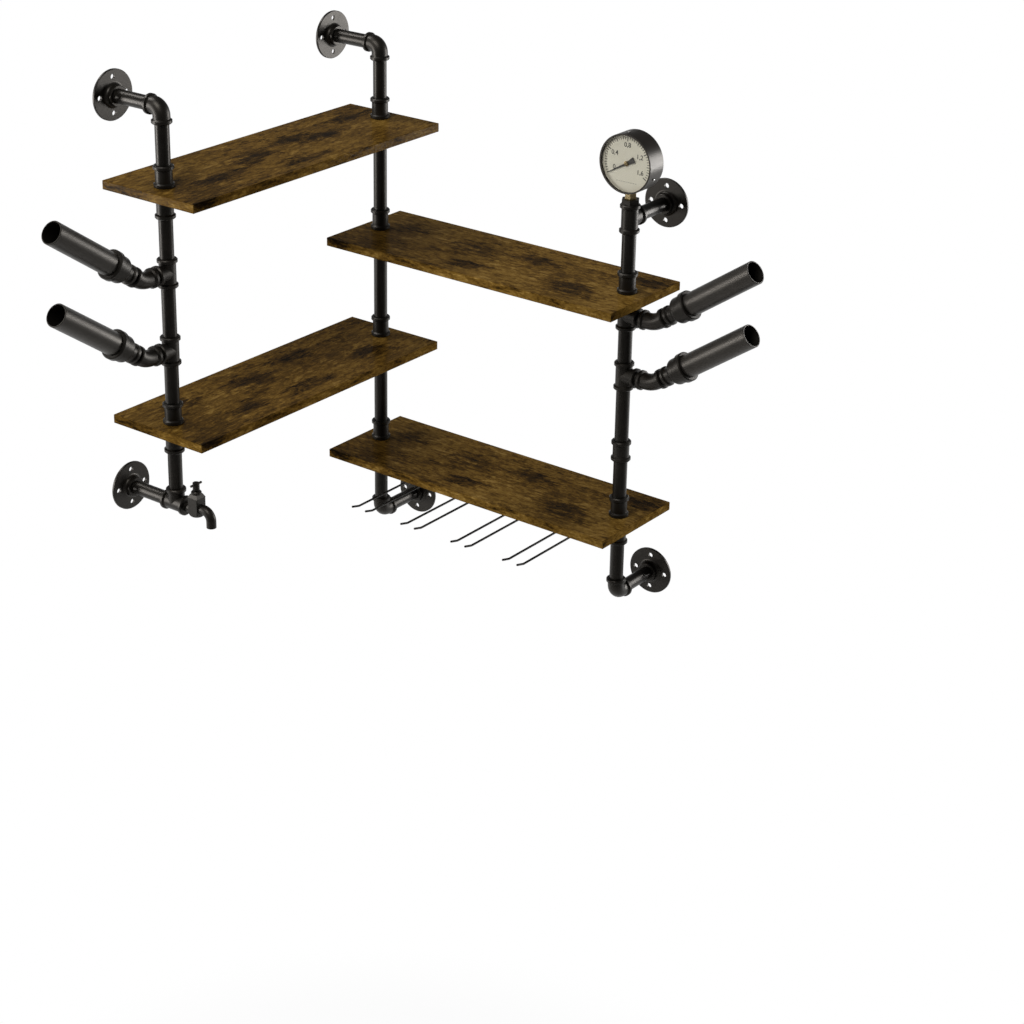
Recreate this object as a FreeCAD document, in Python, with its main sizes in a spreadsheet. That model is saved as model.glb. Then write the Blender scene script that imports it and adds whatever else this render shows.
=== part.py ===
import FreeCAD, Part
import math
import os
import re
import Sketcher
from FreeCAD import Placement, Rotation, Vector

# Corner wine rack of black pipe fittings and boards, hung on two walls that meet at a right angle.
# Origin: back of the corner post's lower wall flange, so the right wall is the plane Y = 0.
# +X runs along the right wall, -Y out along the left wall, +Z up. Sizes in millimetres.

doc = FreeCAD.newDocument("corner_wine_rack")
dims = doc.addObject("Spreadsheet::Sheet", "dims")

sizes = {
    # Boards
    "shelf_length": 600,
    "shelf_depth": 200,
    "shelf_thick": 15,
    "shelf_step": 200,
    "shelf_hole": 24.5,
    "shelf_bevel": 0.8,
    "post_pitch": 524,
    # Pipe and fittings
    "pipe_od": 23.5,
    "pipe_bore": 19,
    "pipe_span": 66.5,
    "tap_span": 64.3,
    "pipe_entry": 12,
    "thread_gap": 0.05,
    "body_od": 28,
    "collar_od": 33.5,
    "collar_high": 5.8,
    "collar_slope": 2,
    "collar_bevel": 1.6,
    "coupling_length": 36,
    "tee_half": 24.25,
    "branch_reach": 27,
    "bend_radius": 15,
    "right_tee_pitch": 105.5,
    # Wall flanges
    "flange_od": 83,
    "flange_plate": 4,
    "flange_high": 15,
    "rim_bevel": 0.8,
    "hub_od": 34,
    "hub_fillet": 5,
    "hub_bevel": 1,
    "bolt_circle": 59,
    "bolt_hole": 8.6,
    "bolt_count": 4,
    # Bottle holders
    "holder_tilt": 35,
    "holder_reach": 25,
    "holder_bend": 40,
    "nipple_show": 5,
    "reducer_length": 52,
    "reducer_neck": 17,
    "reducer_shoulder": 7,
    "shoulder_round": 6,
    "neck_fillet": 4,
    "reducer_od": 44.5,
    "reducer_collar_od": 50,
    "reducer_collar_high": 10,
    "tube_od": 39,
    "tube_bore": 35,
    "tube_entry": 16,
    "tube_show": 139,
    "mouth_bevel": 0.7,
    # Pressure gauge
    "bushing_hex": 31,
    "bushing_high": 8.5,
    "bushing_bore": 13.1,
    "socket_hex": 20,
    "socket_shank": 13,
    "socket_neck": 16,
    "socket_drop": 28,
    "gauge_rise": 94.6,
    "gauge_front": 20,
    "case_od": 98.5,
    "case_depth": 38,
    "case_wall": 1.5,
    "case_lip": 2.6,
    "case_bevel": 1.5,
    "case_gap": 0.25,
    "lip_thick": 1,
    "window_thick": 1.5,
    "seat_gap": 0.1,
    "dial_back": 31,
    "dial_thick": 1,
    "dial_hole": 6,
    "pointer_back": 33.2,
    "pointer_thick": 0.8,
    "pointer_reach": 38.5,
    "pointer_root": 3.6,
    "pointer_end": 0.8,
    "pointer_tail": 16.5,
    "tail_width": 10.2,
    "pointer_start": 120,
    "arbor_od": 3,
    "arbor_shoulder": 5,
    "hub_cap": 8.4,
    "hub_cap_high": 1.2,
    "running_gap": 0.05,
    "movement_back": 12,
    "movement_plate": 1.5,
    "movement_width": 28,
    "movement_foot": 6,
    "movement_head": 14,
    "pillar_od": 5,
    "bourdon_inner": 63,
    "bourdon_outer": 70,
    "bourdon_width": 7,
    "bourdon_sweep": 250,
    # Tap
    "tap_reach": 46.5,
    "tap_od": 28.6,
    "tap_square": 21,
    "tap_drop": 11.5,
    "tap_top": 23,
    "tap_round": 9,
    "tap_neck": 18,
    "tap_chamber": 16,
    "tap_seat": -1,
    "tap_waterway": 6,
    "waterway_drop": 4.5,
    "spout_od": 16.6,
    "spout_bore": 11,
    "spout_rise": 4,
    "spout_run": 16,
    "spout_bend": 16,
    "spout_fall": 10.5,
    "bonnet_plug": 15,
    "bonnet_high": 6,
    "bonnet_taper": 28,
    "gland_od": 17.5,
    "gland_high": 5,
    "gland_bevel": 1.5,
    "spindle_od": 7,
    "jumper_od": 12,
    "jumper_thick": 3.5,
    "boss_od": 11.5,
    "boss_below": 9,
    "boss_above": 3,
    "bar_od": 4,
    "bar_length": 24,
    "bar_rise": 45.4,
    # Stemware hangers
    "hanger_count": 4,
    "hanger_pitch": 110.3,
    "rod_od": 3.8,
    "rod_gap": 30.2,
    "rod_drop": 42,
    "rod_run": 226,
    "tip_run": 17.3,
    "tip_rise": 4.5,
    "tip_bend": 12,
    "bracket_width": 42,
    "bracket_leaf": 20,
    "bracket_thick": 2,
    "bracket_back": 40,
}
for row, (alias, size) in enumerate(sizes.items(), 1):
    dims.set(f"A{row}", alias.replace("_", " "))
    dims.set(f"B{row}", str(size))
    dims.setAlias(f"B{row}", alias)
doc.recompute()


def bound(text):
    # Writes the sheet's name before every alias in an expression
    return re.sub(r"[a-z]\w*", lambda word: f"dims.{word[0]}" if word[0] in sizes else word[0], text)


def value(text):
    return float(dims.evalExpression(bound(text)))


def place(piece, x="0", y="0", z="0", turn=Rotation()):
    piece.Placement = Placement(Vector(), turn)
    for side, text in (("x", x), ("y", y), ("z", z)):
        piece.setExpression(f"Placement.Base.{side}", bound(text))
    return piece


# Sketches and features

def new_body(label):
    body = doc.addObject("PartDesign::Body", label)
    body.Label = label
    return body


def new_sketch(body, role):
    sketch = body.newObject("Sketcher::SketchObject", f"{body.Name}_sketch")
    plane = next(part for part in body.Origin.OriginFeatures if part.Role == role)
    sketch.AttachmentSupport = [(plane, "")]
    sketch.MapMode = "FlatFace"
    return sketch


def pin(sketch, geometry, point, x, y):
    # Holds a point at its distances from the sketch's origin
    for kind, axis, text in (("DistanceX", -2, x), ("DistanceY", -1, y)):
        if text == "0":
            sketch.addConstraint(Sketcher.Constraint("PointOnObject", geometry, point, axis))
        else:
            index = sketch.addConstraint(Sketcher.Constraint(kind, -1, 1, geometry, point, value(text)))
            sketch.setExpression(f"Constraints[{index}]", bound(text))


def draw_outline(sketch, points):
    corners = [Vector(value(x), value(y)) for x, y in points]
    lines = [
        sketch.addGeometry(Part.LineSegment(corner, corners[(index + 1) % len(corners)]), False)
        for index, corner in enumerate(corners)
    ]
    for line, after in zip(lines, lines[1:] + lines[:1]):
        sketch.addConstraint(Sketcher.Constraint("Coincident", line, 2, after, 1))
    for line, (x, y) in zip(lines, points):
        pin(sketch, line, 1, x, y)


def rectangle(width, depth):
    return [
        (f"-{width} / 2", f"-{depth} / 2"),
        (f"{width} / 2", f"-{depth} / 2"),
        (f"{width} / 2", f"{depth} / 2"),
        (f"-{width} / 2", f"{depth} / 2"),
    ]


def draw_circle(sketch, x, y, diameter):
    circle = sketch.addGeometry(
        Part.Circle(Vector(value(x), value(y)), Vector(0, 0, 1), value(diameter) / 2), False
    )
    pin(sketch, circle, 3, x, y)
    index = sketch.addConstraint(Sketcher.Constraint("Diameter", circle, value(diameter)))
    sketch.setExpression(f"Constraints[{index}]", bound(diameter))


def draw_bend(sketch, start, corner, end, radius):
    # Two straight runs that meet at a corner, rounded by a tangent arc
    first, middle, last = (Vector(value(x), value(y)) for x, y in (start, corner, end))
    inward, outward = (first - middle).normalize(), (last - middle).normalize()
    half = inward.getAngle(outward) / 2
    cut_back = value(radius) / math.tan(half)
    nearest = middle + (inward + outward).normalize() * (value(radius) / math.sin(half) - value(radius))
    arc_from, arc_to = middle + inward * cut_back, middle + outward * cut_back
    run_in = sketch.addGeometry(Part.LineSegment(first, arc_from), False)
    arc = sketch.addGeometry(Part.Arc(arc_from, nearest, arc_to), False)
    run_out = sketch.addGeometry(Part.LineSegment(arc_to, last), False)
    knee = sketch.addGeometry(Part.Point(middle), True)
    arc_ends = (1, 2) if (sketch.getPoint(arc, 1) - arc_from).Length < 1e-6 else (2, 1)
    sketch.addConstraint(Sketcher.Constraint("Tangent", run_in, 2, arc, arc_ends[0]))
    sketch.addConstraint(Sketcher.Constraint("Tangent", run_out, 1, arc, arc_ends[1]))
    sketch.addConstraint(Sketcher.Constraint("PointOnObject", knee, 1, run_in))
    sketch.addConstraint(Sketcher.Constraint("PointOnObject", knee, 1, run_out))
    pin(sketch, run_in, 1, *start)
    pin(sketch, knee, 1, *corner)
    pin(sketch, run_out, 2, *end)
    index = sketch.addConstraint(Sketcher.Constraint("Radius", arc, value(radius)))
    sketch.setExpression(f"Constraints[{index}]", bound(radius))


def spin(body, points, axis="V_Axis", cut=False, degrees="360", axis_line=None):
    # Turns an outline in the body's XZ plane about its upright axis, its level axis or a slanted line
    sketch = new_sketch(body, "XZ_Plane")
    draw_outline(sketch, points)
    if axis_line:
        ends = [Vector(value(x), value(y)) for x, y in axis_line]
        line = sketch.addGeometry(Part.LineSegment(*ends), True)
        for point, (x, y) in enumerate(axis_line, 1):
            pin(sketch, line, point, x, y)
        axis = "Axis0"
    kind = "PartDesign::Groove" if cut else "PartDesign::Revolution"
    feature = body.newObject(kind, f"{body.Name}_turned")
    feature.Profile = sketch
    feature.ReferenceAxis = (sketch, [axis])
    feature.setExpression("Angle", bound(degrees))
    return feature


def sweep(body, role, offset, diameter, path, radius, cut=False, centre=("0", "0"), aside="0"):
    # Carries a circle that stands off a body plane along a bent path in the XZ plane, or beside it
    spine = new_sketch(body, "XZ_Plane")
    spine.setExpression("AttachmentOffset.Base.z", bound(aside))
    draw_bend(spine, *path, radius)
    section = new_sketch(body, role)
    section.setExpression("AttachmentOffset.Base.z", bound(offset))
    draw_circle(section, *centre, diameter)
    kind = "PartDesign::SubtractivePipe" if cut else "PartDesign::AdditivePipe"
    pipe = body.newObject(kind, f"{body.Name}_swept")
    pipe.Profile = section
    pipe.Spine = spine
    return pipe


def pad(body, role, points, length, midplane=False):
    sketch = new_sketch(body, role)
    draw_outline(sketch, points)
    feature = body.newObject("PartDesign::Pad", f"{body.Name}_pad")
    feature.Profile = sketch
    feature.setExpression("Length", bound(length))
    feature.Midplane = midplane
    return feature


def drill(body, role, circles, length, reverse=False):
    sketch = new_sketch(body, role)
    for x, y, diameter in circles:
        draw_circle(sketch, x, y, diameter)
    feature = body.newObject("PartDesign::Pocket", f"{body.Name}_holes")
    feature.Profile = sketch
    feature.setExpression("Length", bound(length))
    feature.Reversed = reverse
    return feature


def soften(body, diameter, level, radius):
    # Rounds the circular edge of that diameter at that height on the body's upright axis
    doc.recompute()
    base = body.Tip
    edges = [
        f"Edge{index}" for index, edge in enumerate(base.Shape.Edges, 1)
        if isinstance(edge.Curve, Part.Circle)
        and math.isclose(edge.Curve.Radius, value(diameter) / 2, abs_tol=1e-4)
        and math.isclose(edge.Curve.Center.z, value(level), abs_tol=1e-4)
    ]
    fillet = body.newObject("PartDesign::Fillet", f"{body.Name}_round")
    fillet.Base = (base, edges)
    fillet.setExpression("Radius", bound(radius))


def group(label, pieces):
    compound = doc.addObject("Part::Compound", label)
    compound.Label = label
    compound.Links = pieces
    return compound


# Levels and places that the pieces share

wall_gap = "(branch_reach + pipe_span + flange_high)"
left_y = f"(-{wall_gap} - post_pitch)"
back_y = f"(-{wall_gap})"
lowest_board = "(branch_reach + pipe_span + coupling_length)"
socket_bore = "(pipe_od + 2 * thread_gap)"


def board_under(step):
    return f"({lowest_board} + {step} * shelf_step)"


def board_top(step):
    return f"({board_under(step)} + shelf_thick)"


lower_right, lower_left, upper_right, upper_left = range(4)
top_elbow_z = f"({board_top(upper_left)} + coupling_length + pipe_span + branch_reach)"
gauge_tee_z = f"({board_top(upper_right)} + coupling_length + pipe_span + tee_half)"
tap_tee_z = f"({board_under(lower_left)} - coupling_length - tap_span - branch_reach)"
holder_z = {
    "left_upper": f"({board_under(upper_left)} - coupling_length - pipe_span - tee_half)",
    "left_lower": f"({board_top(lower_left)} + coupling_length + pipe_span + tee_half)",
    "right_upper": f"({board_under(upper_right)} - tee_half)",
    "right_lower": f"({board_under(upper_right)} - tee_half - right_tee_pitch)",
}
mid_coupling_z = f"({board_top(lower_right)} + coupling_length + pipe_span)"

nodes = []

# Boards, each with a hole near both ends for its posts

for label, step, along_left in (
    ("shelf_lower_right", lower_right, False),
    ("shelf_lower_left", lower_left, True),
    ("shelf_upper_right", upper_right, False),
    ("shelf_upper_left", upper_left, True),
):
    board = new_body(label)
    pad(board, "XY_Plane", rectangle("shelf_length", "shelf_depth"), "shelf_thick")
    doc.recompute()
    plank = board.Tip
    bevel = board.newObject("PartDesign::Chamfer", f"{label}_bevel")
    bevel.Base = (plank, [f"Edge{index}" for index in range(1, len(plank.Shape.Edges) + 1)])
    bevel.setExpression("Size", bound("shelf_bevel"))
    drill(board, "XY_Plane", [("-post_pitch / 2", "0", "shelf_hole"), ("post_pitch / 2", "0", "shelf_hole")],
          "shelf_thick", reverse=True)
    if along_left:
        place(board, "0", f"{back_y} - post_pitch / 2", board_under(step), Rotation(Vector(0, 0, 1), 90))
    else:
        place(board, "post_pitch / 2", back_y, board_under(step))
    nodes.append(board)

# Wall flanges: back face at z = 0, hub towards the room

to_room_from_right_wall = Rotation(Vector(1, 0, 0), 90)
to_room_from_left_wall = Rotation(Vector(0, 1, 0), 90)


def make_flange(name):
    flange = new_body(name)
    spin(flange, [
        (f"{socket_bore} / 2", "0"),
        ("flange_od / 2", "0"),
        ("flange_od / 2", "flange_plate - rim_bevel"),
        ("flange_od / 2 - rim_bevel", "flange_plate"),
        ("hub_od / 2", "flange_plate"),
        ("hub_od / 2", "flange_high - hub_bevel"),
        ("hub_od / 2 - hub_bevel", "flange_high"),
        (f"{socket_bore} / 2", "flange_high"),
    ])
    soften(flange, "hub_od", "flange_plate", "hub_fillet")
    holes = drill(flange, "XY_Plane", [("bolt_circle / 2", "0", "bolt_hole")], "flange_plate", reverse=True)
    ring = flange.newObject("PartDesign::PolarPattern", f"{name}_bolt_circle")
    ring.Originals = [holes]
    ring.Axis = (next(part for part in flange.Origin.OriginFeatures if part.Role == "Z_Axis"), [""])
    ring.Angle = 360
    ring.setExpression("Occurrences", bound("bolt_count"))
    flange.Tip = ring
    return flange


def make_pipe(name, length):
    pipe = new_body(name)
    spin(pipe, [
        ("pipe_bore / 2", "0"),
        ("pipe_od / 2", "0"),
        ("pipe_od / 2", length),
        ("pipe_bore / 2", length),
    ])
    return pipe


wall_ends = {
    "left_upper": (True, left_y, top_elbow_z, "branch_reach"),
    "left_lower": (True, left_y, tap_tee_z, "tee_half"),
    "corner_upper": (True, back_y, top_elbow_z, "branch_reach"),
    "corner_lower": (False, "0", "0", "branch_reach"),
    "right_upper": (False, "post_pitch", gauge_tee_z, "branch_reach"),
    "right_lower": (False, "post_pitch", "0", "branch_reach"),
}
stubs = {True: [], False: []}
stub_start = "(flange_high - pipe_entry)"
for name, (on_left_wall, along, height, reach) in wall_ends.items():
    flange = make_flange(f"flange_{name}")
    stub = make_pipe(f"stub_{name}", f"{wall_gap} - {reach} + pipe_entry - {stub_start}")
    if on_left_wall:
        place(flange, f"-{wall_gap}", along, height, to_room_from_left_wall)
        place(stub, f"-{wall_gap} + {stub_start}", along, height, to_room_from_left_wall)
    else:
        place(flange, along, "0", height, to_room_from_right_wall)
        place(stub, along, f"-{stub_start}", height, to_room_from_right_wall)
    nodes.append(flange)
    stubs[on_left_wall].append(stub)
nodes += [group("stubs_left_wall", stubs[True]), group("stubs_right_wall", stubs[False])]

# Post pipes, listed from the top of each post as lower end and upper end.
# A pipe above a board runs down through the coupling and the board into the fitting below.

left_runs = [
    (f"{board_under(upper_left)} - pipe_entry", f"{top_elbow_z} - branch_reach + pipe_entry"),
    (f"{holder_z['left_upper']} + tee_half - pipe_entry",
     f"{board_under(upper_left)} - coupling_length + pipe_entry"),
    (f"{holder_z['left_lower']} + tee_half - pipe_entry",
     f"{holder_z['left_upper']} - tee_half + pipe_entry"),
    (f"{board_under(lower_left)} - pipe_entry", f"{holder_z['left_lower']} - tee_half + pipe_entry"),
    (f"{tap_tee_z} + branch_reach - pipe_entry", f"{board_under(lower_left)} - coupling_length + pipe_entry"),
]
corner_runs = [
    (f"{board_under(upper_left)} - pipe_entry", f"{top_elbow_z} - branch_reach + pipe_entry"),
    *((f"{board_under(step)} - pipe_entry", f"{board_under(step + 1)} - coupling_length + pipe_entry")
      for step in (upper_right, lower_left, lower_right)),
    ("branch_reach - pipe_entry", f"{board_under(lower_right)} - coupling_length + pipe_entry"),
]
right_runs = [
    (f"{board_under(upper_right)} - pipe_entry", f"{gauge_tee_z} - tee_half + pipe_entry"),
    (f"{holder_z['right_lower']} + tee_half - pipe_entry",
     f"{holder_z['right_upper']} - tee_half + pipe_entry"),
    (f"{mid_coupling_z} + coupling_length - pipe_entry",
     f"{holder_z['right_lower']} - tee_half + pipe_entry"),
    (f"{board_under(lower_right)} - pipe_entry", f"{mid_coupling_z} + pipe_entry"),
    ("branch_reach - pipe_entry", f"{board_under(lower_right)} - coupling_length + pipe_entry"),
]
for post, x, y, runs in (
    ("left", "0", left_y, left_runs),
    ("corner", "0", back_y, corner_runs),
    ("right", "post_pitch", back_y, right_runs),
):
    pipes = [
        place(make_pipe(f"pipe_{post}_{number}", f"{upper} - ({lower})"), x, y, lower)
        for number, (lower, upper) in enumerate(runs, 1)
    ]
    nodes.append(group(f"post_pipes_{post}", pipes))

# Every fitting ends in a collar, bevelled at its mouth and sloped down to the fitting's own body


def collar(end, inward):
    # Outline of a collar from its end face to its foot; inward is the sign of the way into the fitting
    return [
        ("collar_od / 2 - collar_bevel", end),
        ("collar_od / 2", f"{end} {inward} collar_bevel"),
        ("collar_od / 2", f"{end} {inward} collar_high"),
        ("body_od / 2", f"{end} {inward} (collar_high + collar_slope)"),
    ]


def collar_ring(end, inward):
    outline = collar(end, inward)
    return [("0", end), *outline, ("0", outline[-1][1])]


# Couplings: sleeves clamped above and below the boards


def make_coupling(name):
    coupling = new_body(name)
    spin(coupling, [
        (f"{socket_bore} / 2", "0"),
        *collar("0", "+"),
        *reversed(collar("coupling_length", "-")),
        (f"{socket_bore} / 2", "coupling_length"),
    ])
    return coupling


def clamp_levels(*steps):
    return [level for step in steps for level in (board_top(step), f"{board_under(step)} - coupling_length")]


for post, x, y, levels in (
    ("left", "0", left_y, clamp_levels(lower_left, upper_left)),
    ("corner", "0", back_y, clamp_levels(lower_right, lower_left, upper_right, upper_left)),
    ("right", "post_pitch", back_y, [*clamp_levels(lower_right), mid_coupling_z, board_top(upper_right)]),
):
    couplings = [
        place(make_coupling(f"coupling_{post}_{number}"), x, y, level)
        for number, level in enumerate(levels, 1)
    ]
    nodes.append(group(f"couplings_{post}_post", couplings))

# Tees: run along z, branch along +x


def level_axis(points):
    return [(y, x) for x, y in points]


def bore_profile(start, end, bore=socket_bore):
    return [("0", start), (f"{bore} / 2", start), (f"{bore} / 2", end), ("0", end)]


def make_tee(name):
    tee = new_body(name)
    spin(tee, [
        ("0", "-tee_half"), *collar("-tee_half", "+"), *reversed(collar("tee_half", "-")), ("0", "tee_half"),
    ])
    spin(tee, level_axis([
        ("0", "0"), ("body_od / 2", "0"), *reversed(collar("branch_reach", "-")), ("0", "branch_reach"),
    ]), "H_Axis")
    spin(tee, bore_profile("-tee_half", "tee_half"), cut=True)
    spin(tee, level_axis(bore_profile("0", "branch_reach")), "H_Axis", cut=True)
    return tee


towards_room_left = Rotation(Vector(0, 0, 1), -90)
for name, level in holder_z.items():
    tee = make_tee(f"tee_holder_{name}")
    if name.startswith("left"):
        place(tee, "0", left_y, level, towards_room_left)
    else:
        place(tee, "post_pitch", back_y, level)
    nodes.append(tee)
nodes += [
    place(make_tee("tee_gauge"), "post_pitch", back_y, gauge_tee_z, Rotation(Vector(0, 0, 1), 90)),
    place(make_tee("tee_tap"), "0", left_y, tap_tee_z, Rotation(Vector(0, 1, 0), -90)),
]

# Elbows: arms along +z and +x


def make_elbow(name):
    elbow = new_body(name)
    path = (("0", "branch_reach"), ("0", "0"), ("branch_reach", "0"))
    sweep(elbow, "XY_Plane", "branch_reach", "body_od", path, "bend_radius")
    spin(elbow, collar_ring("branch_reach", "-"))
    spin(elbow, level_axis(collar_ring("branch_reach", "-")), "H_Axis")
    sweep(elbow, "XY_Plane", "branch_reach", "pipe_bore", path, "bend_radius", cut=True)
    socket = bore_profile("branch_reach - pipe_entry", "branch_reach")
    spin(elbow, socket, cut=True)
    spin(elbow, level_axis(socket), "H_Axis", cut=True)
    return elbow


down_to_left_wall = Rotation(Vector(0, 1, 0), 180)
up_to_right_wall = Rotation(Vector(0, 0, 1), 90)
nodes += [
    place(make_elbow("elbow_left_upper"), "0", left_y, top_elbow_z, down_to_left_wall),
    place(make_elbow("elbow_corner_upper"), "0", back_y, top_elbow_z, down_to_left_wall),
    place(make_elbow("elbow_corner_lower"), "0", back_y, "0", up_to_right_wall),
    place(make_elbow("elbow_right_lower"), "post_pitch", back_y, "0", up_to_right_wall),
]

# Bottle holders, in the frame of their tee: branch along +x, tube rising at the tilt.
# Each bend carries a short nipple at both ends.

knee_x = "(branch_reach + nipple_show + holder_reach)"
arm_end = "(holder_reach + nipple_show + pipe_entry)"
reducer_at = "(holder_reach + nipple_show)"
tube_at = f"({reducer_at} + reducer_length - tube_entry)"


def up_the_tilt(along, across="0"):
    return (
        f"{knee_x} + ({along}) * cos(holder_tilt) - ({across}) * sin(holder_tilt)",
        f"({along}) * sin(holder_tilt) + ({across}) * cos(holder_tilt)",
    )


def make_holder_bend(name):
    bend = new_body(name)
    nipple_start = "(branch_reach - pipe_entry)"
    collar_start = f"({knee_x} - holder_reach)"
    nipple_path = ((nipple_start, "0"), (knee_x, "0"), up_the_tilt(arm_end))
    sweep(bend, "YZ_Plane", nipple_start, "pipe_od", nipple_path, "holder_bend")
    sweep(bend, "YZ_Plane", collar_start, "body_od",
          ((collar_start, "0"), (knee_x, "0"), up_the_tilt("holder_reach")), "holder_bend")
    spin(bend, level_axis(collar_ring(collar_start, "+")), "H_Axis")
    spin(bend, [up_the_tilt(along, across) for across, along in collar_ring("holder_reach", "-")],
         axis_line=((knee_x, "0"), up_the_tilt("holder_reach")))
    sweep(bend, "YZ_Plane", nipple_start, "pipe_bore", nipple_path, "holder_bend", cut=True)
    return bend


def make_reducer(name):
    reducer = new_body(name)
    big_collar = "reducer_length - reducer_collar_high"
    spin(reducer, [
        (f"{socket_bore} / 2", "0"),
        *collar("0", "+"),
        ("body_od / 2", "reducer_neck"),
        ("reducer_od / 2", "reducer_neck + reducer_shoulder"),
        ("reducer_od / 2", f"{big_collar} - collar_slope"),
        ("reducer_collar_od / 2", big_collar),
        ("reducer_collar_od / 2", "reducer_length - collar_bevel"),
        ("reducer_collar_od / 2 - collar_bevel", "reducer_length"),
        ("tube_od / 2 + thread_gap", "reducer_length"),
        ("tube_od / 2 + thread_gap", "reducer_length - tube_entry"),
        ("pipe_bore / 2", "reducer_length - tube_entry"),
        ("pipe_bore / 2", "pipe_entry"),
        (f"{socket_bore} / 2", "pipe_entry"),
    ])
    soften(reducer, "reducer_od", "reducer_neck + reducer_shoulder", "shoulder_round")
    soften(reducer, "body_od", "reducer_neck", "neck_fillet")
    return reducer


def make_tube(label):
    tube = new_body(label)
    spin(tube, [
        ("tube_bore / 2", "0"),
        ("tube_od / 2", "0"),
        ("tube_od / 2", "tube_entry + tube_show - mouth_bevel"),
        ("tube_od / 2 - mouth_bevel", "tube_entry + tube_show"),
        ("tube_bore / 2", "tube_entry + tube_show"),
    ])
    return tube


along_tilt = Rotation(Vector(0, 1, 0), 90 - value("holder_tilt"))
for name, level in holder_z.items():
    for piece, (out, up), turn in (
        (make_holder_bend(f"holder_bend_{name}"), ("0", "0"), Rotation()),
        (make_reducer(f"holder_reducer_{name}"), up_the_tilt(reducer_at), along_tilt),
        (make_tube(f"bottle_tube_{name}"), up_the_tilt(tube_at), along_tilt),
    ):
        if name.startswith("left"):
            place(piece, "0", f"{left_y} - ({out})", f"{level} + {up}", towards_room_left * turn)
        else:
            place(piece, f"post_pitch + {out}", back_y, f"{level} + {up}", turn)
        nodes.append(piece)

# Pressure gauge. Its socket and bushing stand on the right post's top tee; the rest is built
# face up, x to the right and y up on the dial, and turned to face the room.

gauge_z = f"({gauge_tee_z} + gauge_rise)"
gauge_back_y = f"({back_y} - gauge_front + case_depth)"
tee_top_z = f"({gauge_tee_z} + tee_half)"
stem_depth = "(case_depth - gauge_front)"
face_room = Rotation(Vector(1, 0, 0), 90)


def primitive(kind, name, at=("0", "0", "0"), turn=Rotation(), **bindings):
    piece = doc.addObject(f"Part::{kind}", name)
    for prop, text in bindings.items():
        piece.setExpression(prop, bound(text))
    return place(piece, *at, turn)


def fuse(label, shapes):
    joined = doc.addObject("Part::MultiFuse", label)
    joined.Label = label
    joined.Shapes = shapes
    return joined


def cut(label, base, tool):
    remainder = doc.addObject("Part::Cut", label)
    remainder.Label = label
    remainder.Base = base
    remainder.Tool = tool
    return remainder


bushing = cut(
    "gauge_bushing",
    fuse("bushing_solid", [
        primitive("Prism", "bushing_head", Circumradius="bushing_hex / 2", Height="bushing_high"),
        primitive("Cylinder", "bushing_thread", ("0", "0", "-pipe_entry"),
                  Radius="pipe_od / 2", Height="pipe_entry"),
    ]),
    primitive("Cylinder", "bushing_hole", ("0", "0", "-pipe_entry"), Radius="bushing_bore / 2",
              Height="pipe_entry + bushing_high"),
)
place(bushing, "post_pitch", back_y, tee_top_z)

socket_base = "(tee_half + bushing_high)"
hex_top = "(gauge_rise - case_od / 2 - case_gap)"
socket = fuse("gauge_socket", [
    primitive("Prism", "socket_flats", ("0", "0", socket_base), Circumradius="socket_hex / 2",
              Height=f"{hex_top} - {socket_base}"),
    primitive("Cylinder", "socket_thread", ("0", "0", f"{socket_base} - bushing_high - pipe_entry"),
              Radius="socket_shank / 2", Height="bushing_high + pipe_entry"),
    primitive("Cylinder", "socket_stem", ("0", "0", hex_top), Radius="socket_neck / 2",
              Height=f"gauge_rise - socket_drop - {hex_top}"),
])
place(socket, "post_pitch", back_y, gauge_tee_z)

case = new_body("gauge_case")
spin(case, [
    ("0", "0"),
    ("case_od / 2 - case_bevel", "0"),
    ("case_od / 2", "case_bevel"),
    ("case_od / 2", "case_depth"),
    ("case_od / 2 - case_lip", "case_depth"),
    ("case_od / 2 - case_lip", "case_depth - lip_thick"),
    ("case_od / 2 - case_wall", "case_depth - lip_thick"),
    ("case_od / 2 - case_wall", "case_wall"),
    ("0", "case_wall"),
])
drill(case, "XZ_Plane", [("0", stem_depth, "socket_neck + 2 * thread_gap")], "case_od", reverse=True)

seat_radius = "case_od / 2 - case_wall - seat_gap"
window = primitive("Cylinder", "gauge_window", Radius=seat_radius, Height="window_thick")
dial = cut(
    "gauge_dial",
    primitive("Cylinder", "dial_disc", Radius=seat_radius, Height="dial_thick"),
    primitive("Cylinder", "dial_centre", Radius="dial_hole / 2", Height="dial_thick"),
)

pointer = new_body("gauge_pointer")
pad(pointer, "XY_Plane", [
    ("-pointer_end / 2", "pointer_reach"),
    ("-pointer_root / 2", "0"),
    ("-tail_width / 2", "-pointer_tail"),
    ("tail_width / 2", "-pointer_tail"),
    ("pointer_root / 2", "0"),
    ("pointer_end / 2", "pointer_reach"),
], "pointer_thick")
drill(pointer, "XY_Plane", [("0", "0", "arbor_od + 2 * thread_gap")], "pointer_thick", reverse=True)

arbor = new_body("pointer_arbor")
spin(arbor, [
    ("0", "movement_back"),
    ("arbor_od / 2", "movement_back"),
    ("arbor_od / 2", "dial_back + dial_thick"),
    ("arbor_shoulder / 2", "dial_back + dial_thick"),
    ("arbor_shoulder / 2", "pointer_back"),
    ("arbor_od / 2", "pointer_back"),
    ("arbor_od / 2", "pointer_back + pointer_thick"),
    ("hub_cap / 2", "pointer_back + pointer_thick"),
    ("hub_cap / 2", "pointer_back + pointer_thick + hub_cap_high / 2"),
    ("hub_cap / 4", "pointer_back + pointer_thick + hub_cap_high"),
    ("0", "pointer_back + pointer_thick + hub_cap_high"),
])

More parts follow.
